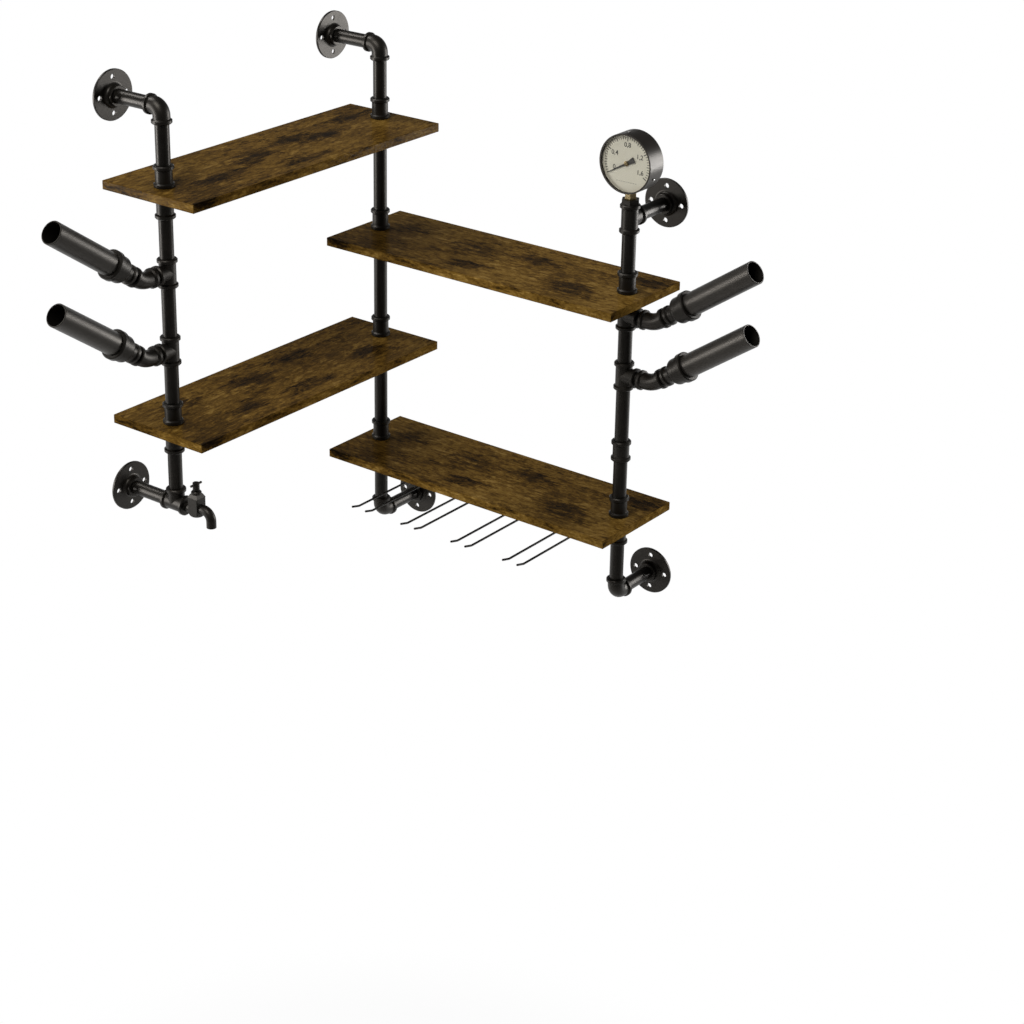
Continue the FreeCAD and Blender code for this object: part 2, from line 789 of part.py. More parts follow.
plate_from = "(-socket_drop + movement_foot)"
plate_sizes = {
    "Length": "movement_width",
    "Width": f"movement_head - {plate_from}",
    "Height": "movement_plate",
}
pillar_sizes = {"Radius": "pillar_od / 2", "Height": "dial_back - movement_back"}
pillar_side, pillar_up = "movement_width / 2 - pillar_od", "movement_head - pillar_od"
movement = cut(
    "gauge_movement",
    fuse("movement_solid", [
        primitive("Box", "movement_block", ("-socket_neck / 2", "-socket_drop", "movement_back"),
                  Length="socket_neck", Width="movement_foot", Height="dial_back - movement_back"),
        primitive("Box", "movement_rear", ("-movement_width / 2", plate_from, "movement_back"),
                  **plate_sizes),
        primitive("Box", "movement_front", ("-movement_width / 2", plate_from, "dial_back - movement_plate"),
                  **plate_sizes),
        primitive("Cylinder", "movement_pillar_left", (f"-({pillar_side})", pillar_up, "movement_back"),
                  **pillar_sizes),
        primitive("Cylinder", "movement_pillar_right", (pillar_side, pillar_up, "movement_back"),
                  **pillar_sizes),
    ]),
    primitive("Cylinder", "movement_bearing", ("0", "0", "movement_back"),
              Radius="arbor_od / 2 + running_gap", Height="dial_back - movement_back"),
)

tube_ring = new_body("bourdon_ring")
spin(tube_ring, [
    ("bourdon_inner / 2", f"{stem_depth} - bourdon_width / 2"),
    ("bourdon_outer / 2", f"{stem_depth} - bourdon_width / 2"),
    ("bourdon_outer / 2", f"{stem_depth} + bourdon_width / 2"),
    ("bourdon_inner / 2", f"{stem_depth} + bourdon_width / 2"),
], degrees="bourdon_sweep")
place(tube_ring, turn=Rotation(Vector(0, 0, 1), -90))
bourdon = cut(
    "bourdon_tube", tube_ring,
    primitive("Cylinder", "bourdon_socket", ("0", "-case_od / 2", stem_depth), Rotation(Vector(1, 0, 0), -90),
              Radius="socket_neck / 2 + thread_gap", Height="case_od / 2 - socket_drop"),
)

for piece, depth, turn in (
    (case, "0", face_room),
    (window, "(case_depth - lip_thick - window_thick)", face_room),
    (dial, "dial_back", face_room),
    (pointer, "pointer_back", face_room * Rotation(Vector(0, 0, 1), value("pointer_start"))),
    (arbor, "0", face_room),
    (movement, "0", face_room),
    (bourdon, "0", face_room),
):
    place(piece, "post_pitch", f"{gauge_back_y} - {depth}", gauge_z, turn)
window.Label = "gauge_window"
nodes += [bushing, socket, case, window, dial, pointer, arbor, movement, bourdon]

# Tap, screwed into the room end of the left post's bottom tee; its own upright axis is x = 0.
# A turned blank with a round foot is milled square above the spout.

tap_body = new_body("tap_body")
spin(tap_body, [
    ("0", "-tap_drop"),
    ("tap_od / 2", "-tap_drop"),
    ("tap_od / 2", "tap_top"),
    ("0", "tap_top"),
])
soften(tap_body, "tap_od", "-tap_drop", "tap_round")
milled = new_sketch(tap_body, "XY_Plane")
draw_circle(milled, "0", "0", "2 * tap_od")
draw_outline(milled, rectangle("tap_square", "tap_square"))
flats = tap_body.newObject("PartDesign::Pocket", "tap_body_flats")
flats.Profile = milled
flats.Midplane = True
flats.setExpression("Length", bound("2 * tap_top"))
inlet_end = "(tee_half - pipe_entry - tap_reach)"
tee_mouth = "(tee_half - tap_reach)"
spin(tap_body, [
    ("0", "0"),
    (inlet_end, "0"),
    (inlet_end, "pipe_od / 2"),
    (tee_mouth, "pipe_od / 2"),
    (tee_mouth, "tap_neck / 2"),
    ("0", "tap_neck / 2"),
], "H_Axis")
spout_path = (
    ("0", "spout_rise"),
    ("spout_run + spout_bend", "spout_rise"),
    ("spout_run + spout_bend", "spout_rise - spout_bend - spout_fall"),
)
sweep(tap_body, "YZ_Plane", "0", "spout_od", spout_path, "spout_bend", centre=("0", "spout_rise"))
spin(tap_body, bore_profile("tap_seat", "tap_top", "tap_chamber"), cut=True)
spin(tap_body, bore_profile("-waterway_drop", "tap_seat", "tap_waterway"), cut=True)
drill(tap_body, "YZ_Plane", [("0", "-waterway_drop", "tap_waterway")], "tap_reach")
sweep(tap_body, "YZ_Plane", "0", "spout_bore", spout_path, "spout_bend", cut=True, centre=("0", "spout_rise"))

spindle_hole = "(spindle_od / 2 + running_gap)"
bonnet_top = "(tap_top + bonnet_high)"
bonnet = new_body("tap_bonnet")
spin(bonnet, bore_profile("tap_top - bonnet_plug", "tap_top", "(tap_chamber - 2 * thread_gap)"))
cap = new_sketch(bonnet, "XY_Plane")
cap.setExpression("AttachmentOffset.Base.z", bound("tap_top"))
draw_outline(cap, rectangle("tap_square", "tap_square"))
slope = bonnet.newObject("PartDesign::Pad", "tap_bonnet_slope")
slope.Profile = cap
slope.setExpression("Length", bound("bonnet_high"))
slope.setExpression("TaperAngle", bound("-bonnet_taper"))
spin(bonnet, bore_profile("tap_top - bonnet_plug", bonnet_top, f"2 * {spindle_hole}"), cut=True)

gland = new_body("tap_gland_nut")
gland_top = f"({bonnet_top} + gland_high)"
spin(gland, [
    (spindle_hole, bonnet_top),
    ("gland_od / 2", bonnet_top),
    ("gland_od / 2", f"{gland_top} - gland_bevel"),
    ("gland_od / 2 - gland_bevel", gland_top),
    (spindle_hole, gland_top),
])

jumper = new_body("tap_jumper")
spin(jumper, [
    ("0", "tap_seat"),
    ("jumper_od / 2", "tap_seat"),
    ("jumper_od / 2", "tap_seat + jumper_thick"),
    ("0", "tap_seat + jumper_thick"),
])

spindle = new_body("tap_spindle")
spin(spindle, [
    ("0", "tap_seat + jumper_thick"),
    ("spindle_od / 2", "tap_seat + jumper_thick"),
    ("spindle_od / 2", "bar_rise"),
    ("0", "bar_rise"),
])

handle = new_body("tap_handle")
spin(handle, bore_profile("bar_rise - boss_below", "bar_rise + boss_above", "boss_od"))
bar_sketch = new_sketch(handle, "XZ_Plane")
draw_circle(bar_sketch, "0", "bar_rise", "bar_od")
bar = handle.newObject("PartDesign::Pad", "tap_handle_bar")
bar.Profile = bar_sketch
bar.Midplane = True
bar.setExpression("Length", bound("bar_length"))
spin(handle, bore_profile("bar_rise - boss_below", "bar_rise", "(spindle_od + 2 * thread_gap)"), cut=True)

for piece in (tap_body, bonnet, gland, jumper, spindle, handle):
    place(piece, "tap_reach", left_y, tap_tee_z)
    nodes.append(piece)

# Stemware hangers under the lower right board: an angle bracket and two rods with raised tips.
# Built with the rods along -x and turned to point away from the right wall.

for number in range(1, sizes["hanger_count"] + 1):
    hanger = new_body(f"glass_hanger_{number}")
    pad(hanger, "XZ_Plane", [
        ("0", "0"),
        ("bracket_leaf", "0"),
        ("bracket_leaf", "-bracket_thick"),
        ("bracket_thick", "-bracket_thick"),
        ("bracket_thick", "-rod_drop - rod_od"),
        ("0", "-rod_drop - rod_od"),
    ], "bracket_width", midplane=True)
    rod_path = (
        ("0", "-rod_drop"),
        ("-rod_run", "-rod_drop"),
        ("-rod_run - tip_run", "-rod_drop + tip_rise"),
    )
    for aside, across in (("rod_gap / 2", "-rod_gap / 2"), ("-rod_gap / 2", "rod_gap / 2")):
        sweep(hanger, "YZ_Plane", "0", "rod_od", rod_path, "tip_bend",
              centre=(across, "-rod_drop"), aside=aside)
    from_middle = f"({number} - (hanger_count + 1) / 2)"
    place(hanger, f"post_pitch / 2 + {from_middle} * hanger_pitch", "-bracket_back", board_under(lower_right),
          Rotation(Vector(0, 0, 1), 90))
    nodes.append(hanger)

# Checks, then one file for each sub-part

doc.recompute()
failed = [item.Name for item in doc.Objects if "Invalid" in item.State or "Error" in item.State]
if failed:
    raise SystemExit(f"objects that did not recompute: {failed}")
for node in nodes:
    if node.Shape.isNull() or not node.Shape.isValid() or not node.Shape.Solids:
        raise SystemExit(f"{node.Label} has no valid solid")

os.makedirs("parts", exist_ok=True)
for node in nodes:
    node.Shape.exportStep(f"parts/{node.Label}.step")
    print(node.Label, len(node.Shape.Solids), round(node.Shape.Volume))
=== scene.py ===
import math

import bpy
from mathutils import Matrix, Vector


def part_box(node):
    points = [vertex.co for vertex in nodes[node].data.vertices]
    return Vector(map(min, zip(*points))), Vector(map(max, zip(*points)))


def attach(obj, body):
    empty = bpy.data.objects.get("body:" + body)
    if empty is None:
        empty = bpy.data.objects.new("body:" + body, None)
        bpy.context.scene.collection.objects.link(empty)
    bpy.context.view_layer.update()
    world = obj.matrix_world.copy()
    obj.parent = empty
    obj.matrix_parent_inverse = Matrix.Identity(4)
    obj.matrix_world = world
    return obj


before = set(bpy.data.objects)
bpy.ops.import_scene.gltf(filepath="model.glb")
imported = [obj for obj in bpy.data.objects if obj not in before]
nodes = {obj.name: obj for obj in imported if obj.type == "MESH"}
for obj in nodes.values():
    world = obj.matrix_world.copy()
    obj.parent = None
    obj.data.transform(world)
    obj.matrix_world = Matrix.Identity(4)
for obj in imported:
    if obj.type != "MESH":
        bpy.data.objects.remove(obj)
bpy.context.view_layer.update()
bpy.ops.object.select_all(action="DESELECT")
print("frame loaded,", len(nodes), "nodes")


# Shader sums: a Wire is one socket, and plain expressions on it add Math nodes

class Wire:
    def __init__(self, tree, socket=None):
        self.tree = tree
        self.socket = socket

    def add(self, kind, settings=None, values=None, output=0):
        # a node of any kind; a tuple of output names gives one wire for each
        made = self.tree.nodes.new("ShaderNode" + kind)
        for name, setting in (settings or {}).items():
            if name == "stops":
                while len(made.color_ramp.elements) < len(setting):
                    made.color_ramp.elements.new(1.0)
                for element, (position, colour) in zip(made.color_ramp.elements, setting):
                    element.position = position
                    element.color = (*colour, 1.0)
            else:
                setattr(made, name, setting)
        for name, value in (values or {}).items():
            if isinstance(value, Wire):
                self.tree.links.new(value.socket, made.inputs[name])
            else:
                made.inputs[name].default_value = value
        if isinstance(output, tuple):
            return [Wire(self.tree, made.outputs[name]) for name in output]
        return Wire(self.tree, made.outputs[output]) if made.outputs else None

    def maths(self, operation, first, second):
        return self.add("Math", {"operation": operation}, {0: first, 1: second})

    def __add__(self, other):
        return self.maths("ADD", self, other)

    def __radd__(self, other):
        return self.maths("ADD", other, self)

    def __sub__(self, other):
        return self.maths("SUBTRACT", self, other)

    def __rsub__(self, other):
        return self.maths("SUBTRACT", other, self)

    def __mul__(self, other):
        return self.maths("MULTIPLY", self, other)

    def __rmul__(self, other):
        return self.maths("MULTIPLY", other, self)

    def __pow__(self, other):
        return self.maths("POWER", self, other)

    def __abs__(self):
        return self.maths("ABSOLUTE", self, 0.0)


def newFinish(label):
    finish = bpy.data.materials.new(label)
    finish.use_nodes = True
    finish.node_tree.nodes.clear()
    return finish, Wire(finish.node_tree)


def vectorMaths(operation, first, second, output=0):
    return first.add("VectorMath", {"operation": operation}, {0: first, 1: second}, output)


def stretch(vector, factors):
    return vectorMaths("MULTIPLY", vector, factors)


def lengthOf(vector):
    return vector.add("VectorMath", {"operation": "LENGTH"}, {0: vector}, "Value")


def larger(first, second):
    return first.maths("MAXIMUM", first, second)


def weighted(layers, weights):
    first, *others = (weight * layers[name] for name, weight in weights.items())
    return sum(others, first)


def cloud(vector, scale, detail=3.0, rough=0.55, twist=0.0):
    return vector.add("TexNoise", None, {
        "Vector": vector, "Scale": scale, "Detail": detail, "Roughness": rough, "Distortion": twist})


def fade(value, low, high):
    # 0 at low and 1 at high, with a soft start and end
    return value.add("MapRange", {"interpolation_type": "SMOOTHSTEP"}, {
        "Value": value, "From Min": low, "From Max": high, "To Min": 0.0, "To Max": 1.0})


def blend(share, first, second):
    return share.add("Mix", {"data_type": "RGBA"}, {0: share, 6: (*first, 1.0), 7: (*second, 1.0)}, 2)


def bump(height, depth, strength):
    return height.add("Bump", None, {"Height": height, "Distance": depth, "Strength": strength})


def close(wire, values):
    surface = wire.add("BsdfPrincipled", None, values)
    wire.add("OutputMaterial", None, {"Surface": surface})


# Painted black metal. Scales are cells per metre; relief is the height of the paint's grain in metres

paints = {
    "pipe": {"dark": (0.0026, 0.0023, 0.0019), "pale": (0.0050, 0.0043, 0.0034), "gloss": 0.37,
             "spread": 0.10, "shine": 0.27, "grain": 1500.0, "relief": 0.000006},
    "cast": {"dark": (0.0030, 0.0026, 0.0021), "pale": (0.0060, 0.0051, 0.0040), "gloss": 0.41,
             "spread": 0.12, "shine": 0.30, "grain": 1000.0, "relief": 0.000014},
    "tube": {"dark": (0.0040, 0.0036, 0.0030), "pale": (0.0070, 0.0062, 0.0052), "gloss": 0.42,
             "spread": 0.08, "shine": 0.53, "grain": 1400.0, "relief": 0.000006},
    "case": {"dark": (0.0080, 0.0062, 0.0049), "pale": (0.0120, 0.0096, 0.0077), "gloss": 0.38,
             "spread": 0.06, "shine": 0.36, "grain": 1600.0, "relief": 0.000005},
    "rod": {"dark": (0.0028, 0.0025, 0.0021), "pale": (0.0050, 0.0045, 0.0038), "gloss": 0.48,
            "spread": 0.08, "shine": 0.16, "grain": 1200.0, "relief": 0.000004},
}
paintCoat = {
    "warmth": (1.0, 0.91, 0.80, 1.0),
    "patches": 38.0, "paleFrom": (0.34, 0.68), "rubs": 110.0, "rubFrom": (0.60, 0.78), "waves": 0.16,
    "pebbleGloss": 0.06, "rubGloss": 0.05, "pebbleHigh": 0.7, "waveHigh": 0.6, "bump": 0.6,
}


def paintedBlack(label, look):
    finish, wire = newFinish(label)
    place = wire.add("TexCoord", output="Object")
    patchy = cloud(place, paintCoat["patches"], 4.0, 0.6)  # slow change of the paint's depth
    pebble = cloud(place, look["grain"], 2.0, 0.5)         # powder coat or casting skin
    wave = cloud(place, look["grain"] * paintCoat["waves"], 2.0, 0.5)
    rubbed = fade(cloud(place, paintCoat["rubs"], 5.0, 0.7), *paintCoat["rubFrom"])
    close(wire, {
        "Base Color": blend(fade(patchy, *paintCoat["paleFrom"]), look["dark"], look["pale"]),
        "Roughness": (look["gloss"] + look["spread"] * (patchy - 0.5)
                      + paintCoat["pebbleGloss"] * (pebble - 0.5) + paintCoat["rubGloss"] * rubbed),
        "Specular IOR Level": look["shine"],
        "Specular Tint": paintCoat["warmth"],
        "Normal": bump(paintCoat["pebbleHigh"] * pebble + paintCoat["waveHigh"] * wave,
                       look["relief"], paintCoat["bump"]),
    })
    return finish


paintOf = {name: paintedBlack("black " + name, look) for name, look in paints.items()}
print("black paints made")


# Rustic laminate of the boards, golden brown with dark stains.
# A cloud is its cells per metre along and across the board, detail, roughness and twist.
# A stain is its middle along and across the board, half its length and half its width, in metres.

board = {
    "half": (0.300, 0.100, 0.0075),
    "tones": [
        (0.00, (0.0050, 0.0030, 0.0016)),
        (0.22, (0.0140, 0.0077, 0.0026)),
        (0.42, (0.0420, 0.0218, 0.0045)),
        (0.58, (0.0860, 0.0450, 0.0082)),
        (0.76, (0.1520, 0.0850, 0.0170)),
        (1.00, (0.2500, 0.1540, 0.0420)),
    ],
    "clouds": {
        "broad": (6.0, 11.0, 5.0, 0.60, 0.5),
        "blot": (15.0, 34.0, 5.0, 0.60, 0.8),
        "grit": (44.0, 105.0, 5.0, 0.62, 0.6),
        "speck": (105.0, 200.0, 4.0, 0.65, 0.4),
        "streak": (9.0, 120.0, 5.0, 0.62, 0.3),
        "fibre": (34.0, 420.0, 4.0, 0.62, 0.0),
        "thread": (150.0, 1700.0, 3.0, 0.60, 0.0),
        "check": (26.0, 240.0, 4.0, 0.60, 0.4),
    },
    "checkFrom": (0.10, 0.20),                                                # short dark splits
    "island": {"blot": 1.0, "grit": 0.5, "streak": 0.3, "fibre": 0.2},        # brown in the golden ground
    "islandFrom": (-0.03, 0.07),
    "stainEdge": {"blot": 1.5, "grit": 1.1, "streak": 0.9, "fibre": 0.4},
    "stainFrom": (1.50, 0.20),
    "tone": {"broad": 0.65, "blot": 1.10, "grit": 1.05, "island": -0.18, "stain": -0.30, "check": -0.17,
             "seam": -0.12},
    "fine": {"speck": 0.66, "streak": 0.62, "fibre": 0.60, "thread": 0.30},
    "edgePatches": 0.90,
    "endFrom": (-0.0006, -0.0002), "rimFrom": (-0.0012, -0.0003), "seamFrom": (-0.0010, -0.0002),
    "rough": 0.55, "roughBlot": 0.20,
    "gloss": 0.12, "lacquer": 0.24, "lacquerLayers": {"blot": 0.20, "check": -0.06}, "edgeDull": 0.94,
    "relief": {"fibre": 0.5, "thread": 0.3, "check": -0.4}, "reliefHigh": 0.00012, "bump": 0.30,
    # depth is each board's place on the tone scale. The right boards sit higher: a lighter tone painted in to
    # make up for the lamps, which stand at the left and light the right boards less.
    "shelves": {
        "shelf_upper_right": {
            "middle": (0.262, -0.1085, 0.537), "turn": 0.0,
            "depth": 0.704, "crisp": 1.20, "stains": "right"},
        "shelf_lower_right": {
            "middle": (0.262, -0.1085, 0.137), "turn": 0.0,
            "depth": 0.704, "crisp": 1.30, "stains": "right"},
        "shelf_upper_left": {
            "middle": (0.0, -0.3705, 0.737), "turn": 90.0,
            "depth": 0.646, "crisp": 1.00, "stains": "upper left"},
        "shelf_lower_left": {
            "middle": (0.0, -0.3705, 0.337), "turn": 90.0,
            "depth": 0.650, "crisp": 1.00, "stains": "lower left"},
    },
    "stains": {
        "right": [
            (-0.078, 0.020, 0.050, 0.022), (0.050, 0.037, 0.042, 0.018), (-0.218, 0.036, 0.040, 0.016),
            (0.176, -0.040, 0.056, 0.032), (-0.020, -0.056, 0.044, 0.016), (0.262, 0.058, 0.034, 0.014)],
        "upper left": [
            (0.057, 0.029, 0.040, 0.016), (0.112, 0.000, 0.046, 0.018), (-0.061, 0.010, 0.052, 0.022),
            (0.004, -0.068, 0.048, 0.016), (-0.178, -0.028, 0.050, 0.020), (0.235, 0.040, 0.040, 0.018)],
        "lower left": [
            (0.076, 0.051, 0.046, 0.018), (-0.056, 0.027, 0.054, 0.024), (0.017, -0.060, 0.048, 0.018),
            (-0.204, 0.047, 0.046, 0.018), (0.191, -0.035, 0.052, 0.024), (-0.130, -0.052, 0.036, 0.014)],
    },
}


def stainLayer(spot, ragged, stains):
    darkest = None
    for midAlong, midAcross, halfLong, halfWide in stains:
        away = vectorMaths("SUBTRACT", spot, (midAlong, midAcross, 0.0))
        reach = lengthOf(stretch(away, (1.0 / halfLong, 1.0 / halfWide, 0.0)))
        dark = fade(reach + ragged, *board["stainFrom"])
        darkest = dark if darkest is None else larger(darkest, dark)
    return darkest


def laminate(label, shelf):
    finish, wire = newFinish(label)
    spot = wire.add("Mapping", {"vector_type": "TEXTURE"}, {
        "Vector": wire.add("TexCoord", output="Object"), "Location": shelf["middle"],
        "Rotation": (0.0, 0.0, math.radians(shelf["turn"]))})
    along, across, level = spot.add("SeparateXYZ", None, {"Vector": spot}, ("X", "Y", "Z"))
    pastLong, pastWide, pastThick = (
        abs(way) - half for way, half in zip((along, across, level), board["half"]))
    # the end faces are banded, so their pattern runs across the board
    atEnd = fade(pastLong, *board["endFrom"])
    endways = along.add("CombineXYZ", None, {"X": across, "Y": level, "Z": along})
    place = atEnd.add("Mix", {"data_type": "VECTOR"}, {0: atEnd, 4: spot, 5: endways}, 1)
    layers = {}
    for name, (lengthwise, crosswise, detail, rough, twist) in board["clouds"].items():
        drawn = stretch(place, (lengthwise, crosswise, crosswise))
        layers[name] = cloud(drawn, 1.0, detail, rough, twist) - 0.5
    layers["check"] = fade(layers["check"], *board["checkFrom"])
    layers["island"] = fade(weighted(layers, board["island"]), *board["islandFrom"])
    layers["stain"] = stainLayer(spot, weighted(layers, board["stainEdge"]), board["stains"][shelf["stains"]])
    rim = fade(larger(pastLong, pastWide), *board["rimFrom"])
    layers["seam"] = rim * fade(pastThick, *board["seamFrom"])
    # the shelf's depth paints the right boards lighter, to make up for the lesser light on them
    tone = (shelf["depth"] + weighted(layers, board["tone"]) + shelf["crisp"] * weighted(layers, board["fine"])
            + board["edgePatches"] * layers["blot"] * rim)
    close(wire, {
        "Base Color": tone.add("ValToRGB", {"stops": board["tones"]}, {"Fac": tone}),
        "Roughness": board["rough"] + board["roughBlot"] * layers["blot"],
        "Specular IOR Level": 0.0,
        "Coat Weight": ((board["lacquer"] + weighted(layers, board["lacquerLayers"]))
                        * (1.0 - board["edgeDull"] * rim)),
        "Coat Roughness": board["gloss"],
        "Normal": bump(weighted(layers, board["relief"]), board["reliefHigh"], board["bump"]),
    })
    return finish


boardOf = {name: laminate(name.replace("_", " "), shelf) for name, shelf in board["shelves"].items()}
print("board laminates made")


# Finishes of the gauge and the tap's washer

gauge = {
    "centre": Vector((0.524, 0.0, 0.76585)),
    # The dial's cream turns darker and browner towards the rim: painted shade of the case's rim over the
    # recessed dial. The mottled spots in that brown are the enamel's own ageing.
    "cream": (0.592, 0.562, 0.472), "agedAndShaded": (0.540, 0.495, 0.395),
    "rimShadeFrom": (0.034, 0.052), "rimShade": 0.7, "rimShadeWander": 0.010,
    "agedSpots": 0.25, "spotFrom": (0.45, 0.75),
    "mottle": 90.0, "tooth": 4200.0, "gloss": 0.50, "glossSpread": 0.10, "shine": 0.30,
    "toothHigh": 0.00002, "toothBump": 0.3,
}
brasses = {
    "turned brass": {"bright": (0.44, 0.345, 0.185), "dull": (0.31, 0.225, 0.105)},
    "old brass": {"bright": (0.22, 0.165, 0.085), "dull": (0.12, 0.085, 0.040)},
}
brassSkin = {
    "tarnish": 160.0, "dullFrom": (0.40, 0.70), "lines": (500.0, 500.0, 5200.0),
    "gloss": 0.30, "tarnishGloss": 0.16, "lineGloss": 0.10, "lineHigh": 0.00004, "bump": 0.4,
}
inks = {
    "pointer paint": {"dark": (0.030, 0.027, 0.024), "pale": (0.052, 0.047, 0.041)},
    "dial ink": {"dark": (0.020, 0.018, 0.016), "pale": (0.045, 0.041, 0.036)},
}
inkSkin = {"wear": 700.0, "paleFrom": (0.40, 0.75), "gloss": 0.48, "wearGloss": 0.12, "shine": 0.30}
pane = {"tint": (0.985, 0.985, 0.975, 1.0), "straight": 0.035, "smear": 60.0, "gloss": 0.03, "smearGloss": 0.05}
zinc = {
    "dark": (0.52, 0.51, 0.49), "pale": (0.70, 0.69, 0.66), "patches": 900.0, "gloss": 0.30, "spread": 0.18,
    "tooth": 6000.0, "toothHigh": 0.00002, "bump": 0.4,
}
washer = {
    "dark": (0.012, 0.012, 0.012), "dusty": (0.030, 0.029, 0.027), "dust": 1200.0, "dustFrom": (0.45, 0.75),
    "gloss": 0.75, "spread": 0.15, "dustHigh": 0.00005, "bump": 0.4,
}


def brassFinish(label, look):
    finish, wire = newFinish(label)
    place = wire.add("TexCoord", output="Object")
    tarnish = cloud(place, brassSkin["tarnish"], 4.0, 0.6)
    lines = cloud(stretch(place, brassSkin["lines"]), 1.0, 2.0)
    close(wire, {
        "Base Color": blend(fade(tarnish, *brassSkin["dullFrom"]), look["bright"], look["dull"]),
        "Metallic": 1.0,
        "Roughness": (brassSkin["gloss"] + brassSkin["tarnishGloss"] * (tarnish - 0.5)
                      + brassSkin["lineGloss"] * (lines - 0.5)),
        "Normal": bump(lines, brassSkin["lineHigh"], brassSkin["bump"]),
    })
    return finish


def dialFinish():
    finish, wire = newFinish("dial enamel")
    place = wire.add("TexCoord", output="Object")
    away = vectorMaths("SUBTRACT", place, gauge["centre"])
    radius = lengthOf(stretch(away, (1.0, 0.0, 1.0)))
    mottle = cloud(place, gauge["mottle"], 4.0, 0.6)
    tooth = cloud(place, gauge["tooth"], 2.0)
    # painted shade: the dial darkens towards its rim, where the case's rim shades the recessed dial
    shadeTowardsRim = fade(radius + gauge["rimShadeWander"] * (mottle - 0.5), *gauge["rimShadeFrom"])
    agedAndShaded = gauge["rimShade"] * shadeTowardsRim + gauge["agedSpots"] * fade(mottle, *gauge["spotFrom"])
    close(wire, {
        "Base Color": blend(agedAndShaded, gauge["cream"], gauge["agedAndShaded"]),
        "Roughness": gauge["gloss"] + gauge["glossSpread"] * (mottle - 0.5),
        "Specular IOR Level": gauge["shine"],
        "Normal": bump(tooth, gauge["toothHigh"], gauge["toothBump"]),
    })
    return finish


def inkFinish(label, look):
    finish, wire = newFinish(label)
    worn = cloud(wire.add("TexCoord", output="Object"), inkSkin["wear"], 3.0, 0.6)
    close(wire, {
        "Base Color": blend(fade(worn, *inkSkin["paleFrom"]), look["dark"], look["pale"]),
        "Roughness": inkSkin["gloss"] + inkSkin["wearGloss"] * (worn - 0.5),
        "Specular IOR Level": inkSkin["shine"],
    })
    return finish


def glassFinish():
    finish, wire = newFinish("gauge glass")
    smear = cloud(wire.add("TexCoord", output="Object"), pane["smear"], 4.0, 0.6)
    facing = wire.add("LayerWeight", None, {"Blend": 0.5}, "Facing")
    # the same from both sides, so light passes both faces of the pane
    edge = pane["straight"] + (1.0 - pane["straight"]) * facing ** 5.0
    clear = wire.add("BsdfTransparent", None, {"Color": pane["tint"]})
    mirror = wire.add("BsdfGlossy", None, {
        "Color": (1.0, 1.0, 1.0, 1.0), "Roughness": pane["gloss"] + pane["smearGloss"] * smear})
    both = wire.add("MixShader", None, {0: edge, 1: clear, 2: mirror})
    wire.add("OutputMaterial", None, {"Surface": both})
    return finish


def zincFinish():
    finish, wire = newFinish("bright zinc")
    place = wire.add("TexCoord", output="Object")
    patch = cloud(place, zinc["patches"], 4.0, 0.6)
    close(wire, {
        "Base Color": blend(patch, zinc["dark"], zinc["pale"]),
        "Metallic": 1.0,
        "Roughness": zinc["gloss"] + zinc["spread"] * (patch - 0.5),
        "Normal": bump(cloud(place, zinc["tooth"], 2.0), zinc["toothHigh"], zinc["bump"]),
    })
    return finish


def rubberFinish():
    finish, wire = newFinish("washer rubber")
    dust = cloud(wire.add("TexCoord", output="Object"), washer["dust"], 4.0, 0.6)
    close(wire, {
        "Base Color": blend(fade(dust, *washer["dustFrom"]), washer["dark"], washer["dusty"]),
        "Roughness": washer["gloss"] + washer["spread"] * (dust - 0.5),
        "Normal": bump(dust, washer["dustHigh"], washer["bump"]),
    })
    return finish


brass, oldBrass = (brassFinish(label, look) for label, look in brasses.items())
dialEnamel, glass, steel, rubber = dialFinish(), glassFinish(), zincFinish(), rubberFinish()
pointerPaint, dialInk = (inkFinish(label, look) for label, look in inks.items())
print("gauge finishes made")


# A CAD node that is no board takes the first finish here whose word starts its name

finishes = [
    ("gauge_case", paintOf["case"]), ("gauge_window", glass), ("gauge_dial", dialEnamel),
    ("gauge_pointer", pointerPaint), ("pointer_arbor", oldBrass), ("gauge_socket", brass),
    ("gauge_movement", brass), ("bourdon_tube", brass), ("tap_jumper", rubber),
    ("bottle_tube", paintOf["tube"]), ("post_pipes", paintOf["pipe"]), ("stubs", paintOf["pipe"]),
    ("glass_hanger", paintOf["rod"]), ("tap_spindle", paintOf["rod"]),
    ("couplings", paintOf["cast"]), ("tee_", paintOf["cast"]), ("elbow_", paintOf["cast"]),
    ("flange_", paintOf["cast"]), ("holder_", paintOf["cast"]), ("gauge_bushing", paintOf["cast"]),
    ("tap_", paintOf["cast"]),
]
for name, node in nodes.items():
    finish = boardOf.get(name) or next(made for start, made in finishes if name.startswith(start))
    if not node.material_slots:
        node.data.materials.append(finish)
    for slot in node.material_slots:
        slot.material = finish
print("finishes given to the nodes")


# Modelling helpers

def objectMode():
    if bpy.context.object is not None and bpy.context.object.mode != "OBJECT":
        bpy.ops.object.mode_set(mode="OBJECT")


def deselect():
    objectMode()
    bpy.ops.object.select_all(action="DESELECT")


def pickOnly(piece):
    deselect()
    piece.select_set(True)
    bpy.context.view_layer.objects.active = piece


def pickFaces(piece, way):
    # edit mode with only the faces that look along way selected
    objectMode()
    bpy.context.tool_settings.mesh_select_mode = (False, False, True)
    for part in (*piece.data.vertices, *piece.data.edges):
        part.select = False
    for face in piece.data.polygons:
        face.select = face.normal.dot(Vector(way)) > 0.9
    bpy.ops.object.mode_set(mode="EDIT")


def settle(piece):
    pickOnly(piece)
    bpy.ops.object.transform_apply(location=True, rotation=True, scale=True)


